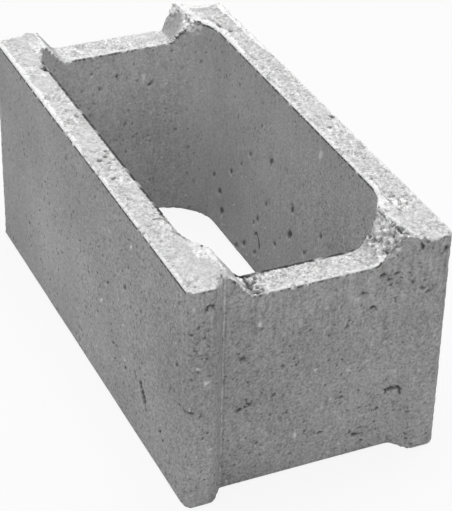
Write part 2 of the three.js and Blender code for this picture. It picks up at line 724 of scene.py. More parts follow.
@dataclass
class Casting:
    """The one cast piece: its form, the spacing of its mesh and its wear, in millimetres."""

    form: Form = Form()
    mesh: Spacing = Spacing()
    seed: Point = (11.7, 3.1, 7.9)
    skin: float = 0.22
    relief: float = 0.07
    struck_relief: float = 0.20
    edge_reach: float = 9.0
    edge_ease: float = 0.45
    kept_corner: float = 0.8
    mark_reach: float = 9.0
    flat_angle: float = 0.02
    crease_angle: float = 0.35
    edge_angle: float = 0.5
    foot_band: float = 1.0
    foot_press: float = 0.6
    pits: tuple[Pit, ...] = ()
    cracks: tuple[Crack, ...] = ()
    chips: tuple[Chip, ...] = ()
    crumbles: tuple[Crumble, ...] = ()
    rims: Seeker | None = field(default=None, repr=False)
    creases: Seeker | None = field(default=None, repr=False)
    marks: Seeker | None = field(default=None, repr=False)

    def survey(self, sharp: bmesh.types.BMesh) -> None:
        """Samples the sharp solid's edges and the placed damage, so that each place knows what
        lies nearest to it.

        Args:
            sharp: the solid before it was remeshed.
        """
        bmesh.ops.dissolve_limit(sharp, angle_limit=self.flat_angle, verts=sharp.verts,
                               edges=sharp.edges)
        rims: list[tuple[Vector, Vector]] = []
        creases: list[tuple[Vector, Vector]] = []
        for edge in sharp.edges:
            angle = edge.calc_face_angle_signed(0.0)
            if abs(angle) < self.crease_angle:
                continue
            a, b = edge.verts[0].co, edge.verts[1].co
            steps = max(1, int((a - b).length))
            outward = (edge.link_faces[0].normal + edge.link_faces[1].normal).normalized()
            samples = [(a.lerp(b, (i + 0.5) / steps), outward) for i in range(steps)]
            (rims if angle > self.edge_angle else creases).extend(samples)
        self.rims = Seeker(rims)
        self.creases = Seeker(creases)
        self.marks = Seeker([(at, mark) for mark in self.pits + self.cracks
                             for at in mark.samples()])
        LOG.info("survey: %d rim and %d crease samples", len(rims), len(creases))

    def spacing(self, p: Vector) -> float:
        """Says how close together the mesh's points should lie around a place.

        Args:
            p: the place, in millimetres.

        Returns:
            The wanted edge length, in millimetres.
        """
        mesh = self.mesh
        rim = Rim(*self.rims.nearest(p))
        upper = p.z > self.form.notch_z - mesh.below_notch
        on_web = upper and abs(p.x) > NEAR_WEB_X and abs(p.y) < mesh.web_half_width
        struck = on_web or p.z > self.form.height - mesh.below_top
        at_edge = upper and rim.distance < (mesh.at_hidden_edge if rim.hidden
                                            else mesh.at_upper_edge)
        by_edge = rim.distance < (mesh.by_upper_edge if upper else mesh.by_edge)
        crumbled = any(zone.off_middle(p) < mesh.by_crumble for zone in self.crumbles)
        chipped = any((p - Vector(chip.at)).length < min(chip.reach, mesh.by_chip)
                      for chip in self.chips)
        _, mark, distance = self.marks.nearest(p)
        if distance < mark.reach + mesh.by_mark:
            return mesh.finest
        if at_edge or crumbled or chipped:
            return mesh.finer
        if by_edge or struck or self.creases.nearest(p)[2] < mesh.by_crease:
            return mesh.fine
        return mesh.coarse

    def refine(self, bm: bmesh.types.BMesh) -> None:
        """Splits edges where the wear needs a finer mesh, then makes triangles.

        Args:
            bm: the even mesh.
        """
        for _ in range(self.mesh.passes):
            long_edges = []
            for e in bm.edges:
                length = e.calc_length()
                middle = (e.verts[0].co + e.verts[1].co) / 2.0
                wanted = self.mesh.slack * self.spacing(middle)
                if length > self.mesh.shortest and length > wanted:
                    long_edges.append(e)
            if not long_edges:
                break
            bmesh.ops.subdivide_edges(bm, edges=long_edges, cuts=1, use_grid_fill=True)
        bmesh.ops.triangulate(bm, faces=bm.faces)

    def _rim_wear(self, p: Vector, rim: Rim) -> float:
        """Gives the depth worn off an edge. The near left corner keeps most of its edge.

        Args:
            p: the place on the surface.
            rim: the nearest edge.

        Returns:
            The depth in millimetres, towards the edge's inside.
        """
        bite = EdgeKind.of(rim).value.depth(rim.at + self.seed[0] * Vector(ALONG_X))
        corner = Vector((self.form.near_end, -self.form.side, self.form.height))
        bite *= 1.0 - self.kept_corner * fade((rim.at - corner).length, 14.0, 30.0)
        return pushed_back((p - rim.at).dot(rim.outward) + bite, self.edge_ease)

    @staticmethod
    def _shaded_edge(rim: Rim) -> float:
        """Says how much painted shade lies beside one of the cavity's hidden upper edges.

        Args:
            rim: the nearest edge.

        Returns:
            The weight of the painted shade. It swells and breaks off along the edge.
        """
        x, y, _ = rim.at
        ragged = grit(rim.at, 0.45, 0.9, 0.6)
        on_web_top = rim.on_web and y < 52.0
        reach = 4.5 + ragged if on_web_top else 3.3 + 0.8 * ragged
        past_far_end, past_notch = ramp(x, -190.0, -100.0), ramp(y, 50.0, 56.0)
        strong = 0.75 + 0.4 * past_far_end - 0.3 * past_notch
        if rim.on_left_wall:
            past_pile = ramp(x, 128.0, 142.0)
            strong -= 0.75 * past_pile
        strong = clamp01(strong + 1.4 * noise.noise(rim.at * 0.09 + Vector((0.0, 0.0, 20.0))))
        return strong * fade(rim.distance, reach - 0.2, reach + 0.5)

    def _placed_wear(self, p: Vector, q: Vector, upright_share: float) -> Point:
        """Adds up the pits and cracks around a place, and the painted shade and pale grains they
        show.

        Args:
            p: the place on the surface.
            q: the same place in the noise.
            upright_share: 1 on a wall and 0 on a level face.

        Returns:
            The depth in millimetres, the painted shade's weight, and the weight of the pale grains
            and of the painted highlight on pits' lower lips.
        """
        depth = hollow = grain = 0.0
        for mark in self.marks.within(p, self.mark_reach):
            felt = mark.felt(p, q, upright_share)
            depth += mark.depth * felt.weight
            # A pale grain shows its own tone; a dark pit or crack gives painted shade, and a wall
            # pit's lower lip a painted highlight.
            if mark.bright:
                grain = max(grain, 0.9 * felt.weight)
            else:
                hollow = max(hollow, felt.shade)
                grain = max(grain, felt.lip)
        return depth, hollow, grain

    def _broken_wear(self, p: Vector, q: Vector, move: Vector) -> tuple[float, Vector, float, float]:
        """Adds up the crumbling and the chipping at a place.

        Args:
            p: the place on the surface.
            q: the same place in the noise.
            move: how far its edge's wear has moved it.

        Returns:
            The crumbled depth, the chips' move, and the weights of the broken tone and of the painted
            shade in the crevices.
        """
        depth = broken = crevice = 0.0
        for zone in self.crumbles:
            lost, tone, gap = zone.loss(p, q)
            depth, broken, crevice = depth + lost, max(broken, tone), max(crevice, gap)
        chipped = Vector()
        for chip in self.chips:
            step, tone = chip.cut(p + move + chipped, q)
            chipped, broken = chipped + step, max(broken, tone)
        return depth, chipped, broken, crevice

    def wear(self, bm: bmesh.types.BMesh) -> dict[str, list[float]]:
        """Moves the mesh's points inwards where the block is worn, pitted, cracked or rough.

        Args:
            bm: the refined mesh, in millimetres.

        Returns:
            For each point, its weights for the concrete's material.
        """
        bm.normal_update()
        weights: dict[str, list[float]] = {name: [] for name in POINT_MARKS}
        moves: list[Vector] = []
        for v in bm.verts:
            p, n = v.co, v.normal
            q = p + Vector(self.seed)
            rim = Rim(*self.rims.nearest(p))
            near_edge = rim.distance < self.edge_reach
            move = rim.outward * -self._rim_wear(p, rim) if near_edge else Vector()
            crumbled, chipped, broken, crevice = self._broken_wear(p, q, move)
            placed, hollow, grain = self._placed_wear(p, q, 1.0 - clamp01(2.0 * abs(n.z)))
            level = ramp(n.z, 0.78, 0.92) if p.z > self.form.notch_z - 3.0 else 0.0
            rough = self.relief + self.struck_relief * level
            rough *= 1.0 + noise.fractal(q * 0.21, 0.6, 2.2, 3)
            skin = self.skin * (1.0 + noise.noise(q * 0.02))
            moves.append(move + chipped - n * (skin + crumbled + placed + rough))
            # A painted shade line beside the cavity's hidden upper edges.
            painted_hidden_edge_shade = ramp(n.z, 0.15, 0.40) * self._shaded_edge(rim) if rim.hidden else 0.0
            # Painted shade in the pits, cracks and crevices.
            shown = {"broken": broken, "hollow": max(hollow, 0.5 * crevice), "grain": grain,
                     "drawn": ramp(abs(n.y), 0.4, 0.8), "painted_hidden_edge_shade": painted_hidden_edge_shade}
            for name in POINT_MARKS:
                weights[name].append(shown[name])
        for v, move in zip(bm.verts, moves):
            v.co += move
            if v.co.z < self.foot_band:
                v.co.z = max(0.0, v.co.z - self.foot_press)
        return weights

    @staticmethod
    def _edge_highlight_band(p: Vector, rim: Rim, ragged: float) -> float:
        """Gives the width of the painted highlight along an upper edge, wider at the two far corners.

        Args:
            p: the place on the surface.
            rim: the nearest edge.
            ragged: noise that makes the line's border ragged.

        Returns:
            The width, in millimetres.
        """
        band = max(0.8, 2.0 + 2.4 * noise.noise(rim.at * 0.06) + 2.0 * ragged)
        far_left = ramp(p.y, -95.0, -105.0) * ramp(p.x, 0.0, -60.0)
        far_right = ramp(p.y, 76.0, 81.0) * ramp(p.x, -110.0, -150.0)
        return band + 2.6 * far_left + 4.4 * far_right

    def faces_seen(self, bm: bmesh.types.BMesh) -> dict[str, list[float]]:
        """Tells the level, pressed tops from the sides, and finds where the edges get a painted
        highlight and a painted shade line.

        Args:
            bm: the worn mesh, in millimetres.

        Returns:
            For each face, its weights for the concrete's material.
        """
        bm.normal_update()
        weights: dict[str, list[float]] = {name: [] for name in FACE_MARKS}
        for f in bm.faces:
            p, up = f.calc_center_median(), f.normal.z
            high = p.z > self.form.notch_z - 8.0
            rim = Rim(*self.rims.nearest(p))
            edged = high and rim.upper and rim.distance < self.edge_reach and not rim.hidden
            ragged = noise.noise(p * 0.35)
            band = self._edge_highlight_band(p, rim, ragged)
            # A painted highlight along the upper edges.
            pale = ramp(up, 0.10, 0.40) * fade(rim.distance, band, band + 1.4)
            # A painted shade line on the faces just below the upper edges.
            painted_edge_shade = ramp(up, 0.4, 0.0) * fade(rim.distance, 2.8, 4.3 + 1.8 * ragged)
            if rim.outward.y > -0.25:
                painted_edge_shade *= clamp01(0.3 + 1.2 * ragged)
            weights["open_face"].append(ramp(up, 0.72, 0.88) if high else 0.0)
            weights["rim"].append(pale * clamp01(1.15 + 1.6 * ragged) if edged else 0.0)
            weights["painted_edge_shade"].append(painted_edge_shade if edged else 0.0)
        return weights

    def build(self) -> bpy.types.Object:
        """Makes the finished casting as one object in metres, inside the solid's own box.

        Returns:
            The object, standing for the solid and riding with it.
        """
        sharp, bm = self.form.solids(self.mesh.coarse)
        self.survey(sharp)
        self.refine(bm)
        surface = BVHTree.FromBMesh(sharp)
        for v in bm.verts:
            v.co = surface.find_nearest(v.co)[0]
        sharp.free()
        weights = self.wear(bm)
        seen = self.faces_seen(bm)
        bmesh.ops.scale(bm, vec=(MM, MM, MM), verts=bm.verts)
        low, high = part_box("shuttering_block")
        for v in bm.verts:
            v.co = Vector(max(low[i], min(high[i], v.co[i])) for i in range(3))
        for f in bm.faces:
            f.smooth = True
        LOG.info("block_casting: %d triangles", len(bm.faces))
        obj = object_of(bm, "block_casting")
        for domain, marks in (("POINT", weights), ("FACE", seen)):
            for name, values in marks.items():
                obj.data.attributes.new(name, "FLOAT", domain).data.foreach_set("value", values)
        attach(obj, "root")
        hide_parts("shuttering_block")
        return obj


# -- the damage that this block carries -----------------------------------------------------

SHAPE = Form()


@dataclass(frozen=True)
class Plane:
    """A face's plane: where both its coordinates are 0, and a step along each of them.

    On a drawn face the pits are smeared over and lean. Spread makes its pits wider.
    """

    origin: Point
    across: Point
    up: Point
    drawn: bool = False
    spread: float = 1.0


class Face(Enum):
    """The faces that carry placed damage, by two of the block's own coordinates."""

    LONG_SIDE = Plane((0.0, -SHAPE.side, 0.0), ALONG_X, UPWARD, drawn=True)
    NEAR_WEB = Plane((SHAPE.near_web, 0.0, 0.0), ALONG_Y, UPWARD)
    FLANGE_END = Plane((SHAPE.near_end, 0.0, 0.0), ALONG_Y, UPWARD)
    WALL_TOP = Plane((0.0, 0.0, SHAPE.height), ALONG_X, ALONG_Y)
    NOTCH_FLOOR = Plane((0.0, 0.0, SHAPE.notch_z), ALONG_X, ALONG_Y)
    RIGHT_INSIDE = Plane(
        (0.0, SHAPE.side - SHAPE.wall_foot, 0.0), ALONG_X,
        (0.0, (SHAPE.wall_foot - SHAPE.wall_top) / SHAPE.height, 1.0), drawn=True, spread=1.3)
    FAR_INSIDE = Plane((SHAPE.far_inside, 0.0, 0.0), ALONG_Y,
                       ((SHAPE.web_top - SHAPE.web_foot) / SHAPE.height, 0.0, 1.0))

    def at(self, u: float, v: float) -> Point:
        """Gives the point for two coordinates on the face."""
        plane = self.value
        return tuple(plane.origin[i] + u * plane.across[i] + v * plane.up[i] for i in range(3))

    def _pit(self, bright: bool, u: float, v: float, radius: float, depth: float,
             across: float = 1.0, up: float = 1.0) -> Pit:
        """Places a pit on the face.

        Args:
            bright: whether a pale grain shows in place of a dark hollow.
            u: the first coordinate.
            v: the second coordinate.
            radius: the pit's radius.
            depth: the pit's depth; below 0 it stands proud.
            across: stretch along the first coordinate.
            up: stretch along the second coordinate.

        Returns:
            The pit.
        """
        plane = self.value
        stretch = tuple(1.0 + abs(plane.across[i]) * (across - 1.0)
                        + abs(plane.up[i]) * (up - 1.0) for i in range(3))
        smear, slant = (0.35, 0.7) if plane.drawn else (1.0, 0.0)
        shade = clamp01(0.30 + 0.35 * depth)
        return Pit(self.at(u, v), radius * plane.spread, depth * smear, stretch, bright, shade, slant)

    def pits(self, *rows: tuple[float, ...]) -> list[Pit]:
        """Places dark pits. A row is u, v, radius, depth and, where stretched, across and up."""
        return [self._pit(False, *row) for row in rows]

    def grains(self, *rows: tuple[float, ...]) -> list[Pit]:
        """Places pale grains, by rows like those of the pits."""
        return [self._pit(True, *row) for row in rows]

    def crack(self, line: Sequence[tuple[float, float]], width: float, depth: float,
              shade: float = 1.0, bright: bool = False) -> Crack:
        """Draws a crack on the face, along a line of two coordinates each."""
        return Crack(tuple(self.at(u, v) for u, v in line), width, depth, shade, bright)


DAMAGE_PITS = (
    *Face.LONG_SIDE.pits(
        (70.5, 126.0, 1.5, 2.2, 2.4, 1.2), (113.4, 147.1, 1.7, 2.4, 2.4, 1.4),
        (150.6, 66.2, 2.0, 2.6, 1.8, 1.7), (151.6, 62.9, 1.7, 2.6, 1.8, 1.5),
        (155.4, 58.9, 2.3, 3.0, 1.9, 1.6), (157.7, 55.5, 2.4, 3.0, 1.9, 1.6),
        (160.0, 52.0, 2.2, 3.0, 1.9, 1.6), (239.5, 105.0, 1.5, 1.8, 1.8),
        (82.6, 66.4, 1.7, 2.2, 2.2), (92.4, 69.2, 1.4, 1.8, 2.2), (85.5, 50.6, 1.2, 1.8, 4.2, 0.8),
        (113.1, 58.2, 1.4, 2.2, 2.0, 1.6), (196.0, 44.5, 1.8, 2.2, 2.2, 1.1),
        (203.2, 39.0, 1.2, 1.8, 2.0, 1.6), (-163.8, 222.8, 2.0, 1.6),
        (-154.0, 61.7, 1.3, 1.4, 2.4, 1.8), (-37.2, 110.7, 1.3, 1.4, 2.2),
        (-3.0, 128.5, 1.2, 1.3, 2.2), (48.4, 152.1, 1.3, 1.5, 2.2), (58.5, 148.3, 1.2, 1.4, 2.2),
        (-53.3, 85.1, 1.2, 1.3, 2.4), (-67.0, 56.9, 1.2, 1.3, 2.4), (20.1, 107.4, 1.2, 1.4, 2.2),
        (44.5, 121.2, 1.3, 1.5, 2.2), (42.6, 77.1, 1.3, 1.5, 2.4), (85.3, 113.1, 1.2, 1.4, 2.2),
        (124.2, 204.2, 1.3, 1.5, 2.2), (233.4, 142.6, 1.5, 2.2, 2.0, 1.4),
        (208.6, 191.8, 1.3, 1.4, 2.0), (197.4, 212.2, 1.3, 1.4, 2.0),
        (-100.0, 140.0, 1.2, 1.3, 2.6), (-120.0, 96.0, 1.2, 1.3, 2.6), (10.0, 60.0, 1.2, 1.3, 2.4)),
    *Face.LONG_SIDE.grains(
        (113.2, 66.9, 0.9, -0.2, 2.0), (53.9, 96.8, 1.4, -0.2, 2.2, 1.2),
        (130.5, 200.5, 1.4, -0.2, 1.8, 1.3)),
    *Face.NEAR_WEB.pits(
        (48.4, 175.8, 2.0, 1.8), (58.4, 158.5, 2.2, 2.2, 1.5, 0.7), (34.8, 144.6, 1.8, 1.6),
        (33.0, 68.1, 2.0, 1.8, 1.4, 0.8), (70.7, 44.2, 1.8, 1.8), (-68.0, 83.0, 1.9, 2.2, 1.4),
        (-62.5, 84.5, 1.4, 1.8, 1.2), (-58.0, 86.0, 1.5, 1.8, 1.2), (-65.9, 136.8, 2.2, 1.8, 1.5),
        (-70.0, 143.0, 1.5, 1.2), (-60.0, 131.0, 1.4, 1.2), (13.4, 33.8, 1.8, 1.8, 2.0, 0.7),
        (49.7, 20.5, 2.2, 2.2, 1.6), (44.0, 24.5, 1.6, 1.6), (55.0, 27.5, 1.6, 1.4),
        (-48.8, 163.7, 1.6, 1.4), (62.0, 156.0, 1.5, 1.4), (67.0, 190.0, 2.0, 2.0, 1.6),
        (73.0, 184.0, 1.8, 1.8), (80.0, 189.0, 1.7, 1.6, 1.6), (75.0, 178.0, 1.5, 1.4)),
    *Face.NEAR_WEB.grains(
        (-12.0, 39.0, 1.8, -0.2, 0.8, 1.5), (-51.0, 170.0, 1.7, -0.2, 0.8, 1.7),
        (39.0, 97.0, 1.0, -0.2), (5.0, 106.5, 1.0, -0.2)),
    *Face.FLANGE_END.pits(
        (-121.6, 105.6, 1.7, 2.4, 1.7, 0.8), (-112.0, 100.0, 1.4, 1.2), (-117.5, 170.0, 1.3, 0.9),
        (-122.0, 186.5, 1.7, 1.6, 1.2), (-111.0, 164.0, 1.2, 0.9), (-104.0, 171.0, 1.3, 0.8),
        (-106.0, 187.0, 1.1, 0.8), (96.0, 178.0, 2.2, 1.6, 2.0), (103.0, 174.0, 1.6, 1.4, 1.6),
        (108.0, 178.5, 1.5, 1.2), (99.0, 186.0, 1.4, 1.2), (118.0, 215.0, 2.0, 2.0, 1.0, 1.5)),
    *Face.FLANGE_END.grains(
        (-115.0, 151.0, 1.2, -0.2), (-107.0, 133.5, 1.0, -0.2),
        (-122.3, 108.4, 1.0, -0.2, 0.8, 1.4)),
    *Face.WALL_TOP.pits(
        (-60.0, -104.0, 1.5, 1.2, 1.6), (26.4, -113.4, 2.2, 2.0), (21.0, -106.5, 1.7, 1.8),
        (33.0, -107.0, 1.5, 1.2), (30.0, -101.0, 1.4, 1.2), (12.0, -103.0, 1.5, 1.3),
        (61.0, -113.5, 1.6, 1.4), (-163.6, -98.4, 3.4, 3.4, 1.6), (30.4, 120.4, 2.4, 2.0),
        (48.0, 109.5, 1.6, 1.4), (-188.8, 100.2, 1.6, 1.8, 3.2), (-173.0, 106.0, 1.8, 1.8, 1.6)),
    *Face.WALL_TOP.grains(
        (-52.0, -107.5, 1.8, 0.8, 3.4, 0.7), (67.0, -109.0, 2.0, -0.2),
        (-152.0, -104.0, 2.4, 0.6, 1.5), (52.5, 107.2, 2.4, 1.2, 1.5), (-167.5, 110.0, 2.0, 1.2),
        (201.0, 108.0, 2.0, 0.4, 1.6)),
    *Face.NOTCH_FLOOR.pits(
        (211.5, -50.8, 1.8, 1.8, 1.3), (226.1, -54.4, 2.8, 2.6, 1.2), (222.7, -49.3, 1.8, 2.0, 1.2),
        (237.2, -53.6, 2.3, 2.4, 1.0, 1.7), (234.9, -46.9, 1.6, 1.8), (217.2, -45.9, 1.6, 1.8, 1.3),
        (230.0, -49.6, 1.5, 1.8, 1.4), (208.8, -46.0, 1.4, 1.6)),
    *Face.NOTCH_FLOOR.grains(
        (214.5, -51.4, 1.8, -0.6, 2.0, 0.8), (229.5, -53.0, 2.0, -0.8),
        (210.0, -58.6, 1.6, -0.4, 1.8, 0.7)),
    *Face.RIGHT_INSIDE.pits(
        (-195.9, 209.4, 2.1, 2.2, 1.6, 2.4), (-41.9, 146.7, 2.6, 1.8, 1.0, 1.5),
        (-133.5, 85.8, 2.6, 1.8), (-161.3, 47.3, 2.9, 2.0), (-66.3, 66.2, 2.3, 1.8),
        (-154.1, 26.3, 3.6, 2.4), (9.8, 120.0, 2.3, 1.8, 1.0, 1.5), (6.8, 89.3, 3.9, 3.2),
        (71.0, 124.3, 2.3, 1.6), (40.0, 88.0, 2.3, 1.5), (-24.0, 60.0, 2.2, 1.5),
        (-90.0, 130.0, 2.2, 1.5), (-110.0, 108.0, 2.0, 1.3), (-48.2, 93.9, 1.9, 1.4, 1.0, 1.5),
        (-75.0, 57.0, 1.8, 1.4), (-175.6, 60.1, 2.4, 1.6), (-95.3, 19.5, 2.6, 1.8, 1.2),
        (-68.9, 24.1, 2.2, 1.6), (-114.0, 6.0, 2.4, 1.6, 1.3), (-191.5, 101.8, 1.8, 1.4, 1.0, 1.4),
        (-66.9, 174.3, 1.5, 1.3)),
    *Face.RIGHT_INSIDE.grains(
        (59.0, 208.1, 2.9, 0.4, 1.0, 1.2)),
    *Face.FAR_INSIDE.pits(
        (37.2, 155.6, 1.8, 1.6), (0.1, 172.2, 1.8, 1.6), (72.3, 29.4, 3.0, 2.6),
        (62.8, 36.6, 2.6, 2.2), (68.0, 22.0, 2.2, 1.8), (-19.0, 161.0, 1.4, 1.2),
        (-28.0, 180.0, 1.5, 1.2)),
    *Face.FAR_INSIDE.grains(
        (30.0, 166.0, 1.8, 0.4, 0.8, 1.6)),
    Pit((241.0, 81.9, 63.2), 2.5, 2.2, (1.0, 1.5, 0.9)),
    Pit((241.0, 78.6, 60.8), 1.6, 1.4, (1.0, 0.8, 1.5)),
    Pit((244.8, 87.8, 65.6), 2.6, 2.2, (1.0, 1.2, 1.0)), Pit((235.5, 79.5, 211.0), 2.2, 2.6),
    Pit((233.0, 76.5, 211.5), 1.8, 2.2), Pit((209.0, 67.0, 212.2), 1.8, 1.8),
    Pit((206.5, 81.4, 230.0), 2.4, 2.6), Pit((231.5, 82.6, 230.0), 2.0, 2.6, (2.4, 1.0, 1.0)),
    Pit((240.0, 84.8, 230.0), 2.2, 2.8, (1.6, 1.0, 1.0)),
    Pit((-252.0, 76.0, 227.0), 9.0, -4.0, (1.0, 1.0, 1.2), True),
)

DAMAGE_CRACKS = (
    Face.LONG_SIDE.crack(((137.5, 71.0), (140.4, 65.5)), 2.4, 0.3, 0.55),
    Face.LONG_SIDE.crack(((150.2, 67.5), (155.0, 59.3)), 2.2, 0.3, 0.5),
    Face.LONG_SIDE.crack(((160.1, 52.3), (164.4, 46.9)), 3.0, 0.3, 0.6),
    Crack(((248.5, -125.0, 107.2), (255.5, -124.0, 106.5)), 1.8, 0.5, 0.6),
    Face.FLANGE_END.crack(((-107.5, 208.8), (-107.3, 211.7), (-104.7, 213.2),
                           (-101.8, 211.2)), 1.8, 1.4),
    Face.FLANGE_END.crack(((-101.8, 211.2), (-98.7, 206.4)), 1.2, 0.8, 0.6),
    Crack(((241.0, 83.0, 63.6), (241.0, 84.6, 64.0), (244.0, 87.2, 65.2)), 2.0, 1.0, 0.8),
    Crack(((244.9, 87.9, 65.0), (246.6, 89.2, 60.5)), 1.7, 1.4),
    Face.FLANGE_END.crack(((-124.5, 107.5), (-122.2, 105.4), (-118.5, 105.6)), 1.5, 1.4),
    Face.WALL_TOP.crack(((138.5, -107.0), (138.6, -102.7), (141.8, -98.7),
                         (148.4, -97.0)), 1.1, 0.6, 0.8),
    Face.WALL_TOP.crack(((148.4, -97.0), (155.7, -96.6), (165.1, -98.8)), 0.9, 0.5, 0.5),
    Face.RIGHT_INSIDE.crack(((-70.0, 46.0), (-66.0, 49.0), (-61.0, 44.0), (-58.0, 36.0)), 2.2, 0.6),
    Crack(((206.8, -54.9, 202.0), (211.5, -53.8, 202.0), (219.0, -54.6, 202.0),
           (226.1, -54.4, 202.0)), 2.3, 1.3),
    Crack(((228.5, -55.0, 202.2), (237.7, -54.4, 202.2)), 1.8, 1.0, 0.8),
    Crack(((253.2, 94.2, 224.0), (254.5, 95.1, 219.0)), 1.7, 2.0),
    Face.WALL_TOP.crack(((183.2, 87.2), (193.6, 86.2), (205.7, 85.6), (215.3, 86.4),
                         (225.2, 88.6)), 1.7, 0.0, 0.9, bright=True),
    Face.WALL_TOP.crack(((229.0, 89.4), (236.4, 90.2), (243.5, 91.6),
                         (250.0, 96.5)), 1.6, 0.0, 0.8, bright=True),
)

DAMAGE_CHIPS = (
    Chip((226.0, 79.4, 223.4), (0.164, -0.679, 0.715), 36.0, 2.2, 1.0),
    Chip((194.0, 84.5, 229.3), (-0.09, -0.68, 0.728), 21.0, 2.2, 1.0),
    Chip((243.0, -84.0, 224.5), (0.386, 0.45, 0.80), 15.0, 0.8, 0.2),
    Chip((206.0, 66.0, 209.0), (-0.965, -0.262, 0.0), 15.0, 0.5, 0.0),
    Chip((252.3, -121.4, 0.0), (0.62, -0.77, -0.10), 60.0, 0.5, 0.05),
    Chip((253.5, 122.0, 2.0), (0.50, 0.72, -0.48), 13.0, 0.8, 0.1),
    Chip((254.0, 121.5, 228.0), (0.55, 0.55, 0.62), 10.0, 0.8, 0.5),
    Chip((-250.0, 65.5, 204.0), (0.0, -0.94, 0.34), 15.0, 0.8, 0.3),
    Chip((-249.0, -86.0, 225.5), (-0.6, 0.35, 0.72), 13.0, 0.9, 0.3),
)

DAMAGE_CRUMBLES = (
    Crumble((226.0, 75.0, 213.0), (28.0, 18.0, 17.0), 3.2, 1.0, 0.24),
    Crumble((201.0, 82.0, 224.0), (15.0, 10.0, 13.0), 2.6, 1.0, 0.24),
    Crumble((223.0, -57.5, 204.0), (20.0, 9.5, 11.0), 1.7, 1.0, 0.34),
    Crumble((193.0, 106.0, 230.0), (25.0, 13.0, 4.0), 1.2, 0.8, 0.3),
    Crumble((-214.0, 80.0, 224.0), (20.0, 9.0, 12.0), 3.0, 0.9),
    Crumble((-251.0, 74.0, 224.0), (9.0, 9.0, 10.0), 2.2, 0.7),
)


# -- the concrete ---------------------------------------------------------------------------

Socket = bpy.types.NodeSocket
Value = float | Socket


@dataclass(frozen=True)
class Texture:
    """A noise: its cells to the metre, and its finer detail."""

    scale: float
    detail: float = 1.0
    roughness: float = 0.5


@dataclass(frozen=True)
class Grain:
    """How much the mottle, the sand and the stones change a tone."""

    mottle: float
    sand: float
    stone: float = 0.0


@dataclass(frozen=True)
class Spots:
    """Small irregular spots: cells to the metre, share of cells that get one, and their size."""

    scale: float
    share: float
    size: float


@dataclass(frozen=True)
class Patch:
    """A soft patch, in metres, where the tone is a little darker or paler: the concrete's own tone,
    and at the foot painted light.
    """

    at: Point
    inner: float
    outer: float
    change: float


@dataclass(frozen=True)
class RecessEdgeLight:
    """A painted highlight along an upright edge of the recess, by its place in metres and its
    strength.
    """

    x: float
    y: float
    strength: float


class Nodes:
    """Short calls for placing and joining the nodes of one tree."""

    def __init__(self, tree: bpy.types.NodeTree) -> None:
        """Starts from an emptied tree."""
        self.tree = tree
        tree.nodes.clear()

    def add(self, kind: str, inputs: dict | None = None, **settings) -> bpy.types.Node:
        """Places a node, sets its properties, and fills or joins its inputs.

        Args:
            kind: the node's type.
            inputs: input name or number to a value, or to another node's output.
            **settings: properties of the node.

        Returns:
            The node.
        """
        node = self.tree.nodes.new(kind)
        for name, value in settings.items():
            setattr(node, name, value)
        for name, value in (inputs or {}).items():
            if isinstance(value, Socket):
                self.tree.links.new(value, node.inputs[name])
            else:
                node.inputs[name].default_value = value
        return node

    def math(self, operation: str, a: Value, b: Value = 0.0) -> Socket:
        """Joins two values by arithmetic and gives the result."""
        return self.add("ShaderNodeMath", {0: a, 1: b}, operation=operation).outputs[0]

    def vector_math(self, operation: str, a: Socket, b: Socket | Point) -> Socket:
        """Joins two vectors by arithmetic and gives the result."""
        return self.add("ShaderNodeVectorMath", {0: a, 1: b}, operation=operation).outputs[0]

    def joined(self, operation: str, *values: Value) -> Socket:
        """Joins two or more values, one after the other, by one kind of arithmetic.

        Args:
            operation: the kind of arithmetic.
            *values: the values.

        Returns:
            The result.
        """
        result = values[0]
        for value in values[1:]:
            result = self.math(operation, result, value)
        return result

    def times(self, *values: Value) -> Socket:
        """Multiplies two or more values."""
        return self.joined("MULTIPLY", *values)

    def plus(self, *values: Value) -> Socket:
        """Adds two or more values."""
        return self.joined("ADD", *values)

    def most(self, *values: Value) -> Socket:
        """Gives the largest of two or more values."""
        return self.joined("MAXIMUM", *values)

    def less(self, value: Socket, amount: float = 1.0) -> Socket:
        """Gives what is left of 1 when a share of a value is taken away."""
        return self.math("SUBTRACT", 1.0, self.times(value, amount))

    def span(self, value: Value, low: float, high: float, to_low: float = 0.0,
             to_high: float = 1.0) -> Socket:
        """Maps a value smoothly from one range to another, held at both ends.

        Args:
            value: the value.
            low: where the first range starts.
            high: where the first range ends.
            to_low: the result at low and below it.
            to_high: the result at high and above it.

        Returns:
            The mapped value.
        """
        return self.add("ShaderNodeMapRange", {"Value": value, "From Min": low, "From Max": high,
                                               "To Min": to_low, "To Max": to_high},
                        clamp=True, interpolation_type="SMOOTHSTEP").outputs["Result"]

    def blend(self, factor: Value, a: Value, b: Value) -> Socket:
        """Blends two values."""
        return self.add("ShaderNodeMix", {0: factor, 2: a, 3: b}, data_type="FLOAT").outputs[0]

    def noise(self, vector: Socket, texture: Texture) -> Socket:
        """Places a noise.

        Args:
            vector: the coordinates.
            texture: its scale and detail.

        Returns:
            The noise's value, about a middle of 0.5.
        """
        return self.add("ShaderNodeTexNoise", {
            "Vector": vector, "Scale": texture.scale, "Detail": texture.detail,
            "Roughness": texture.roughness}).outputs["Fac"]

    def total(self, *terms: tuple[Socket, float]) -> Socket:
        """Adds values about their middle, each by its own amount."""
        return self.plus(*(self.times(self.math("SUBTRACT", value, 0.5), amount)
                           for value, amount in terms))


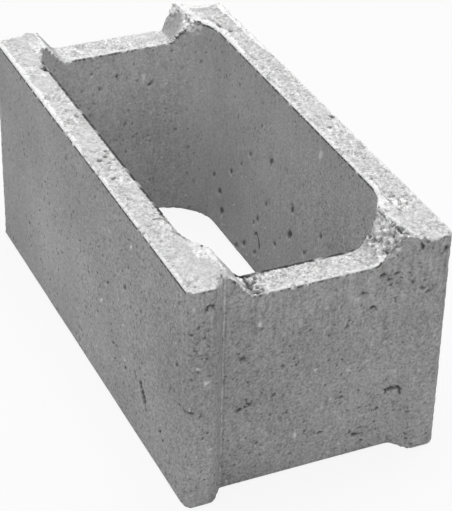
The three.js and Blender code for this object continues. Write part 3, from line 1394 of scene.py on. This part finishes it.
@dataclass(frozen=True)
class ConcreteFinish:
    """Dry-pressed grey concrete: tones as linear reflectance, places in metres, and textures.

    A pair of shares says how strongly something shows on the sides and on the struck tops. The
    pairs for the cavity are for the outside and the inside.
    """

    name: str = "cast_concrete"
    side: float = 0.475
    top: float = 0.62
    broken: float = 0.70
    # The tone of the painted highlight along the upper edges.
    rim: float = 0.93
    # Tones of the painted shade in the pits, darker on the tops, where more light falls.
    pit: float = 0.11
    top_pit: float = 0.055
    grain: float = 0.94
    # Painted shade low in the cavity and painted light near its top.
    cavity_painted_shade_and_light: tuple[float, float] = (-0.19, 0.21)
    cavity_height: float = 0.21
    # How dark the painted shade line below the upper edges is.
    painted_edge_shade_share: float = 0.84
    # How dark the painted shade line beside the hidden edges is.
    painted_hidden_edge_shade_share: float = 0.92
    # How strong the painted highlight along the recess edges and the painted shade beside it are.
    edge_light_share: float = 0.42
    beside_edge_light_shade_share: float = 0.16
    grain_shares: tuple[float, float] = (0.46, 0.75)
    pit_shares: tuple[float, float] = (0.72, 0.43)
    cavity_pit_shares: tuple[float, float] = (1.0, 0.72)
    cavity_streak_shares: tuple[float, float] = (0.04, 0.36)
    pits_lost_on_rim_highlight: float = 0.8
    blot_share: float = 0.42
    blot_squash: float = 0.62
    relief_shares: tuple[float, float] = (0.55, 0.65)
    hollow_relief: float = 0.9
    roughness: float = 0.93
    specular: float = 0.25
    bump: float = 0.0010
    cavity_side: tuple[float, float] = (0.0950, 0.0965)
    cavity_far: tuple[float, float] = (-0.2260, -0.2245)
    cavity_near: tuple[float, float] = (0.2085, 0.2100)
    web_streaks: tuple[float, float] = (0.232, 0.240)
    streak_heights: tuple[float, float] = (0.10, 0.19)
    streak: float = 0.62
    drawn_out: Point = (1.0, 1.0, 0.16)
    lean: Point = (1.0, 0.24, -0.40)
    squash: float = 0.90
    cloud: Texture = Texture(15.0)
    uneven: Texture = Texture(26.0)
    mottle: Texture = Texture(125.0)
    drag: Texture = Texture(260.0)
    sand: Texture = Texture(390.0, 2.0, 0.75)
    wobble: float = 400.0
    wobble_reach: float = 0.0034
    stones: float = 210.0
    plain_grain: Grain = Grain(0.42, 1.50)
    drawn_grain: Grain = Grain(0.15, 1.45)
    top_grain: Grain = Grain(0.42, 1.75, 0.26)
    broken_grain: Grain = Grain(0.8, 1.6, 1.1)
    relief_grain: Grain = Grain(0.5, 0.9)
    block_ends: tuple[float, float] = (-0.2, 0.23)
    plain_shares: tuple[float, float] = (0.85, 1.15)
    drawn_shares: tuple[float, float] = (0.65, 1.15)
    left_face: tuple[float, float] = (-0.1245, -0.118)
    pits_on_left_face: float = 0.70
    calm_noise: tuple[float, float] = (0.36, 0.58)
    pits_in_calm: float = 0.30
    rim_highlight_noise: tuple[float, float] = (0.25, 0.5)
    least_rim_highlight: float = 0.55
    side_cloud: float = 0.30
    top_cloud: float = 0.16
    coarse_pits: Spots = Spots(90.0, 0.62, 0.18)
    fine_pits: Spots = Spots(205.0, 0.40, 0.28)
    grains: Spots = Spots(170.0, 0.16, 0.20)
    blots: Spots = Spots(58.0, 0.34, 0.17)
    # Painted highlights along two upright recess edges, each with painted shade beside it.
    recess_edge_lights: tuple[RecessEdgeLight, ...] = (RecessEdgeLight(0.2405, -0.0855, 1.0), RecessEdgeLight(0.2568, 0.0972, 0.4))
    patches: tuple[Patch, ...] = (
        Patch((0.25, -0.125, 0.14), 0.02, 0.10, -0.15),
        Patch((0.241, -0.01, 0.12), 0.02, 0.09, -0.09),
        # These two patches pale the feet: painted light against the shading there.
        Patch((0.241, 0.05, -0.02), 0.02, 0.09, 0.10),
        Patch((-0.05, -0.125, 0.02), 0.05, 0.17, 0.11),
        Patch((-0.24, 0.0, 0.20), 0.05, 0.09, 0.06),
        Patch((-0.21, 0.11, 0.23), 0.03, 0.10, -0.09),
    )

    def material(self) -> bpy.types.Material:
        """Builds the concrete's material.

        Returns:
            The material.
        """
        material = bpy.data.materials.new(self.name)
        material.use_nodes = True
        ConcreteNodes(self, material.node_tree).build()
        return material


class ConcreteNodes:
    """The concrete's nodes, on the object's own coordinates and the casting's marks."""

    def __init__(self, finish: ConcreteFinish, tree: bpy.types.NodeTree) -> None:
        """Places the coordinates, the marks and the textures that the tones share.

        Args:
            finish: the tones and textures.
            tree: the material's nodes.
        """
        self.finish = finish
        self.n = n = Nodes(tree)
        self.spots = self.spots_group()
        self.place = n.add("ShaderNodeTexCoord").outputs["Object"]
        self.mark = {name: n.add("ShaderNodeAttribute", attribute_name=name).outputs["Fac"]
                     for name in POINT_MARKS + FACE_MARKS}
        self.x, self.y, self.z = n.add("ShaderNodeSeparateXYZ", {0: self.place}).outputs
        leaning = n.total(*zip((self.x, self.y, self.z), finish.lean))
        spread = n.add("ShaderNodeCombineXYZ", {
            0: leaning, 1: self.y, 2: n.times(self.z, finish.squash)}).outputs[0]
        wobble = n.add("ShaderNodeTexNoise", {
            "Vector": spread, "Scale": finish.wobble, "Detail": 0.0}).outputs["Color"]
        wobble = n.vector_math("MULTIPLY", wobble, (finish.wobble_reach,) * 3)
        self.shaken = n.vector_math("ADD", spread, wobble)
        self.cloud = n.noise(self.place, finish.cloud)
        self.uneven = n.noise(self.place, finish.uneven)
        self.mottle = n.noise(spread, finish.mottle)
        self.sand = n.noise(spread, finish.sand)
        stones = n.add("ShaderNodeTexVoronoi", {"Vector": self.shaken, "Scale": finish.stones})
        self.stone = n.add("ShaderNodeSeparateColor", {0: stones.outputs["Color"]}).outputs[0]
        self.inside = n.times(
            n.span(n.math("ABSOLUTE", self.y), *finish.cavity_side, 1.0, 0.0),
            n.span(self.x, *finish.cavity_far), n.span(self.x, *finish.cavity_near, 1.0, 0.0))

    @staticmethod
    def spots_group() -> bpy.types.NodeTree:
        """Builds the group that scatters small spots over a surface.

        Returns:
            A group with the inputs Vector, Scale, Share and Size, and the output Mask.
        """
        group = bpy.data.node_groups.new("scattered_spots", "ShaderNodeTree")
        for name, kind in (("Vector", "NodeSocketVector"), ("Scale", "NodeSocketFloat"),
                           ("Share", "NodeSocketFloat"), ("Size", "NodeSocketFloat")):
            group.interface.new_socket(name=name, in_out="INPUT", socket_type=kind)
        group.interface.new_socket(name="Mask", in_out="OUTPUT", socket_type="NodeSocketFloat")
        n = Nodes(group)
        given = n.add("NodeGroupInput").outputs
        cells = n.add("ShaderNodeTexVoronoi", {"Vector": given["Vector"], "Scale": given["Scale"]})
        chance = n.add("ShaderNodeSeparateColor", {0: cells.outputs["Color"]}).outputs
        chosen = n.math("LESS_THAN", chance[0], given["Share"])
        reach = n.times(given["Size"], n.plus(0.4, chance[1]))
        inside = n.math("SUBTRACT", reach, cells.outputs["Distance"])
        soft = n.add("ShaderNodeMapRange", {"Value": inside, "From Min": 0.0, "From Max": 0.08},
                     clamp=True).outputs["Result"]
        n.add("NodeGroupOutput", {"Mask": n.times(soft, chosen)})
        return group

    def scatter(self, spots: Spots, squash: float = 1.0) -> Socket:
        """Scatters spots over the concrete.

        Args:
            spots: how many and how large.
            squash: below 1, the spots are drawn out along z.

        Returns:
            The spots' mask.
        """
        vector = self.n.vector_math("MULTIPLY", self.shaken, (1.0, 1.0, squash))
        return self.n.add("ShaderNodeGroup", {
            "Vector": vector, "Scale": spots.scale, "Share": spots.share, "Size": spots.size},
            node_tree=self.spots).outputs["Mask"]

    def grained(self, grain: Grain) -> Socket:
        """Gives the change of tone by the shared textures."""
        terms = (self.mottle, grain.mottle), (self.sand, grain.sand), (self.stone, grain.stone)
        return self.n.total(*(term for term in terms if term[1]))

    def side_tone(self) -> Socket:
        """Makes the tone of the cast sides, with drag marks on the near web and in the cavity.

        Returns:
            The tone.
        """
        n, finish = self.n, self.finish
        dragged = n.vector_math("MULTIPLY", self.place, finish.drawn_out)
        on_web = n.times(n.span(self.x, *finish.web_streaks),
                         n.span(self.z, *finish.streak_heights, 0.25, 1.0))
        streaked = n.most(on_web, n.blend(self.inside, *finish.cavity_streak_shares))
        streaks = n.times(n.total((n.noise(dragged, finish.drag), finish.streak)), streaked)
        plain = n.times(self.grained(finish.plain_grain),
                        n.span(self.x, *finish.block_ends, *finish.plain_shares))
        drawn = n.times(self.grained(finish.drawn_grain),
                        n.span(self.x, *finish.block_ends, *finish.drawn_shares))
        grain = n.plus(n.blend(self.mark["drawn"], plain, drawn),
                       n.total((self.cloud, finish.side_cloud)))
        return n.times(finish.side, n.plus(1.0, streaks, grain))

    def top_tone(self) -> Socket:
        """Makes the tone of the struck tops, calmer in places and on the left wall.

        Returns:
            The tone.
        """
        n, finish = self.n, self.finish
        grain = n.times(self.grained(finish.top_grain), n.span(self.y, -0.095, -0.06, 1.0, 1.25),
                        n.span(self.uneven, 0.38, 0.60, 0.62, 1.15))
        return n.times(finish.top, n.plus(1.0, grain, n.total((self.cloud, finish.top_cloud))))

    def change(self) -> Socket:
        """Makes the tone darker or paler by place: painted shade low in the cavity and painted light
        near its top, and the patches.

        Returns:
            The change, as a share of the tone.
        """
        n, finish = self.n, self.finish
        change = n.times(self.inside,
                         n.span(self.z, 0.0, finish.cavity_height, *finish.cavity_painted_shade_and_light))
        for patch in finish.patches:
            away = n.add("ShaderNodeVectorMath", {0: self.place, 1: patch.at},
                         operation="DISTANCE").outputs["Value"]
            change = n.plus(change, n.span(away, patch.inner, patch.outer, patch.change, 0.0))
        return change

    def with_recess_edge_lights(self, tone: Socket) -> Socket:
        """Paints the highlights along the recess edges, each with a line of painted shade beside it.

        Args:
            tone: the tone under them.

        Returns:
            The tone with the painted highlights and shade.
        """
        n, finish = self.n, self.finish
        for edge_light in finish.recess_edge_lights:
            off = n.plus(n.math("ABSOLUTE", n.math("SUBTRACT", self.x, edge_light.x)),
                         n.math("ABSOLUTE", n.math("SUBTRACT", self.y, edge_light.y)))
            line = n.times(n.span(off, 0.0010, 0.0028, 1.0, 0.0), n.span(self.mottle, 0.30, 0.55))
            beside = n.times(n.span(off, 0.0016, 0.0024), n.span(off, 0.0028, 0.0046, 1.0, 0.0))
            tone = n.times(tone, n.plus(1.0, n.times(line, finish.edge_light_share * edge_light.strength)),
                           n.less(beside, finish.beside_edge_light_shade_share * edge_light.strength))
        return tone

    def hollows(self, rim: Socket) -> Socket:
        """Scatters the dark pits, painted shade in small hollows, and the cavity's dark blots, with
        fewer pits on the painted edge highlights.

        Args:
            rim: the weight of the painted highlight along the edges.

        Returns:
            The weight of the dark tone.
        """
        n, finish = self.n, self.finish
        calm = n.times(n.span(self.y, *finish.left_face, finish.pits_on_left_face, 1.0),
                       n.span(self.uneven, *finish.calm_noise, finish.pits_in_calm, 1.0))
        dark = n.times(calm, n.most(self.scatter(finish.coarse_pits),
                                    self.scatter(finish.fine_pits)))
        dark = n.times(dark, n.blend(self.mark["open_face"], *finish.pit_shares),
                       n.blend(self.inside, *finish.cavity_pit_shares),
                       n.less(rim, finish.pits_lost_on_rim_highlight))
        blots = n.times(self.scatter(finish.blots, finish.blot_squash), self.inside,
                        finish.blot_share)
        return n.most(dark, blots, self.mark["hollow"])

    def build(self) -> None:
        """Joins the tones, from the plain sides up to the darkest hollows, with painted highlights
        and painted shade among them, and the relief.
        """
        n, finish, mark = self.n, self.finish, self.mark
        tone = n.blend(mark["open_face"], self.side_tone(), self.top_tone())
        tone = n.times(tone, n.plus(1.0, self.change()))
        broken_tone = n.times(finish.broken, n.plus(1.0, self.grained(finish.broken_grain)))
        tone = n.blend(mark["broken"], tone, broken_tone)
        # A painted highlight along the upper edges, and a painted shade line just below them.
        rim = n.times(mark["rim"],
                      n.span(self.sand, *finish.rim_highlight_noise, finish.least_rim_highlight, 1.0))
        tone = n.times(n.blend(rim, tone, finish.rim), n.less(mark["painted_edge_shade"], finish.painted_edge_shade_share))
        tone = self.with_recess_edge_lights(tone)
        light = n.times(self.scatter(finish.grains),
                        n.blend(mark["open_face"], *finish.grain_shares))
        # The pale grains, with the painted highlight on the pits' lower lips.
        tone = n.blend(n.most(light, mark["grain"]), tone, finish.grain)
        # Painted shade in the pits and cracks, darker on the tops, where more light falls, and the
        # cavity's dark blots.
        dark = self.hollows(rim)
        pit = n.blend(mark["open_face"], finish.pit, finish.top_pit)
        tone = n.blend(dark, tone, pit)
        # A painted shade line beside the cavity's hidden upper edges.
        tone = n.times(tone, n.less(mark["painted_hidden_edge_shade"], finish.painted_hidden_edge_shade_share))
        colour = n.add("ShaderNodeCombineColor", {0: tone, 1: tone, 2: tone}).outputs[0]
        relief = n.math("SUBTRACT", self.grained(finish.relief_grain),
                        n.times(dark, finish.hollow_relief))
        relief = n.times(relief, n.blend(mark["open_face"], *finish.relief_shares))
        normal = n.add("ShaderNodeBump", {
            "Height": relief, "Distance": finish.bump, "Strength": 1.0}).outputs["Normal"]
        shader = n.add("ShaderNodeBsdfPrincipled", {
            "Base Color": colour, "Roughness": finish.roughness, "Normal": normal,
            "Specular IOR Level": finish.specular}).outputs[0]
        n.add("ShaderNodeOutputMaterial", {"Surface": shader})


# -- the studio -----------------------------------------------------------------------------


@dataclass(frozen=True)
class Lamp:
    """A square soft lamp that looks at the block."""

    name: str
    place: Point
    size: float
    watts: float


@dataclass
class Studio:
    """The pale floor, the lamps and the camera. Lengths are in metres."""

    azimuth: float = 65.132
    elevation: float = 32.772
    roll: float = 1.4515
    lens: float = 133.85
    sensor: float = 36.0
    sight: float = 40.0
    place: Point = (1.4323, -0.6366, 1.0932)
    aim: Point = (0.0, 0.0, 0.1)
    floor_size: float = 6.0
    floor_gap: float = 0.0004
    floor_tone: float = 0.82
    floor_glow: float = 0.88
    ambient: float = 0.084
    lamps: tuple[Lamp, ...] = (
        Lamp("overhead", (-0.3, -0.2, 2.4), 2.2, 48.9),
        Lamp("left_side", (1.2, -2.2, 1.7), 1.6, 7.6),
        Lamp("right_side", (-0.6, 1.8, 2.0), 1.6, 14.1),
        Lamp("front", (2.6, 0.0, 1.8), 1.6, 12.1),
    )

    @staticmethod
    def _grey(value: float) -> tuple[float, float, float, float]:
        """A neutral colour of one value."""
        return (value, value, value, 1.0)

    @staticmethod
    def _seen(n: Nodes) -> Socket:
        """Tells the rays that show a surface from those that carry its light."""
        rays = n.add("ShaderNodeLightPath").outputs
        return n.most(rays["Is Glossy Ray"], rays["Is Transmission Ray"], rays["Is Camera Ray"])

    def camera(self) -> None:
        """Places the camera by its direction, and turns it by its roll."""
        az, el, roll = (math.radians(a) for a in (self.azimuth, self.elevation, self.roll))
        back = Vector((math.sin(az) * math.cos(el), -math.cos(az) * math.cos(el), math.sin(el)))
        level = Vector((math.cos(az), math.sin(az), 0.0))
        right = level * math.cos(roll) + back.cross(level) * math.sin(roll)
        data = bpy.data.cameras.new("camera")
        data.lens = self.lens
        data.sensor_width = self.sensor
        data.clip_end = self.sight
        data.dof.use_dof = False
        camera = bpy.data.objects.new("camera", data)
        turn = Matrix((right, back.cross(right), back)).transposed().to_4x4()
        camera.matrix_world = Matrix.Translation(self.place) @ turn
        bpy.context.scene.collection.objects.link(camera)
        bpy.context.scene.camera = camera

    def light(self) -> None:
        """Hangs the lamps, and sets the even light of the room."""
        for lamp in self.lamps:
            data = bpy.data.lights.new(lamp.name, "AREA")
            data.shape = "SQUARE"
            data.size = lamp.size
            data.energy = lamp.watts
            obj = bpy.data.objects.new(lamp.name, data)
            obj.location = lamp.place
            direction = Vector(self.aim) - Vector(lamp.place)
            obj.rotation_euler = direction.to_track_quat("-Z", "Y").to_euler()
            bpy.context.scene.collection.objects.link(obj)
        world = bpy.data.worlds.new("room")
        bpy.context.scene.world = world
        world.use_nodes = True
        n = Nodes(world.node_tree)
        strength = n.blend(self._seen(n), self.ambient, 1.0)
        background = n.add("ShaderNodeBackground", {"Color": self._grey(1.0),
                                                    "Strength": strength})
        n.add("ShaderNodeOutputWorld", {"Surface": background.outputs[0]})

    def floor(self) -> bpy.types.Object:
        """Lays the pale floor, seen white where it is fully lit.

        Returns:
            The floor's object.
        """
        bm = bmesh.new()
        bmesh.ops.create_grid(bm, x_segments=1, y_segments=1, size=self.floor_size)
        bmesh.ops.translate(bm, vec=(0.0, 0.0, -self.floor_gap), verts=bm.verts)
        floor = object_of(bm, "studio_floor")
        material = bpy.data.materials.new("pale_floor")
        material.use_nodes = True
        n = Nodes(material.node_tree)
        diffuse = n.add("ShaderNodeBsdfDiffuse", {"Color": self._grey(self.floor_tone)}).outputs[0]
        glow = n.add("ShaderNodeEmission", {"Color": self._grey(1.0), "Strength": 1.0}).outputs[0]
        share = n.times(self._seen(n), self.floor_glow)
        mixed = n.add("ShaderNodeMixShader", {0: share, 1: diffuse, 2: glow})
        n.add("ShaderNodeOutputMaterial", {"Surface": mixed.outputs[0]})
        floor.data.materials.append(material)
        return floor


def main() -> None:
    """Builds the camera, the casting, its concrete and the studio, in that order."""
    studio = Studio()
    studio.camera()
    casting = Casting(pits=DAMAGE_PITS, cracks=DAMAGE_CRACKS, chips=DAMAGE_CHIPS,
                      crumbles=DAMAGE_CRUMBLES)
    block = casting.build()
    block.data.materials.append(ConcreteFinish().material())
    LOG.info("block_casting: %d points", len(block.data.vertices))
    studio.floor()
    studio.light()
    LOG.info("studio: floor and %d lamps", len(studio.lamps))
    bpy.context.scene.view_settings.view_transform = "Standard"


if __name__ == "__main__":
    main()
